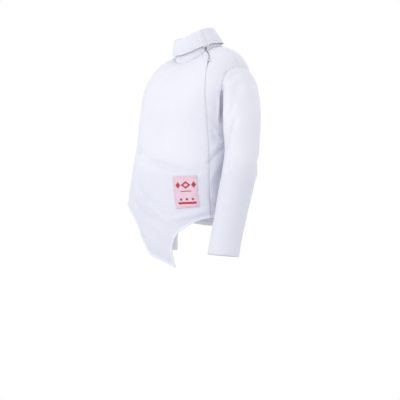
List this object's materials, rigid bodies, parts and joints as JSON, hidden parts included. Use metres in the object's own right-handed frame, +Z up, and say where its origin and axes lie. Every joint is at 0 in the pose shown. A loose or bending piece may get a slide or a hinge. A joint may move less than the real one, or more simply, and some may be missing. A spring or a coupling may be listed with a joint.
{
  "type": "fencing jacket",
  "caption": "Child's white fencing jacket with a side-front zip, turn-down collar, full sleeves and a groin tail, filled out as worn.",
  "frame": {"origin": "centre of the neck seam's ring at the height of the shoulder tops, where the wearer's shoulders hold the jacket up", "axes": "+Z up, front faces -Y, wearer's left is +X"},
  "size_m": [0.4185, 0.2445, 0.5276],
  "materials": {
    "jacket_cloth": "matt, tightly woven",
    "zip_cloth": "matt tape with a moulded chain",
    "zip_metal": "satin",
    "label_cloth": "satin woven"
  },
  "bodies": {
    "jacket": {"front_panel": "jacket_cloth", "side_front_panel": "jacket_cloth", "back_panel": "jacket_cloth", "left_sleeve": "jacket_cloth", "right_sleeve": "jacket_cloth", "collar_stand": "jacket_cloth", "collar_fall": "jacket_cloth", "zip_tape": "zip_cloth", "zip_slider": "zip_metal", "label_patch": "label_cloth"},
    "pull": {"zip_pull": "zip_metal"}
  },
  "joints": [
    {"name": "pull_hinge", "type": "hinge", "parent": "jacket", "child": "pull", "pos_m": [0.07728, -0.04826, -0.02733], "axis": [-0.8351, -0.5024, -0.2241], "range_deg": [0, 110]}
  ]
}
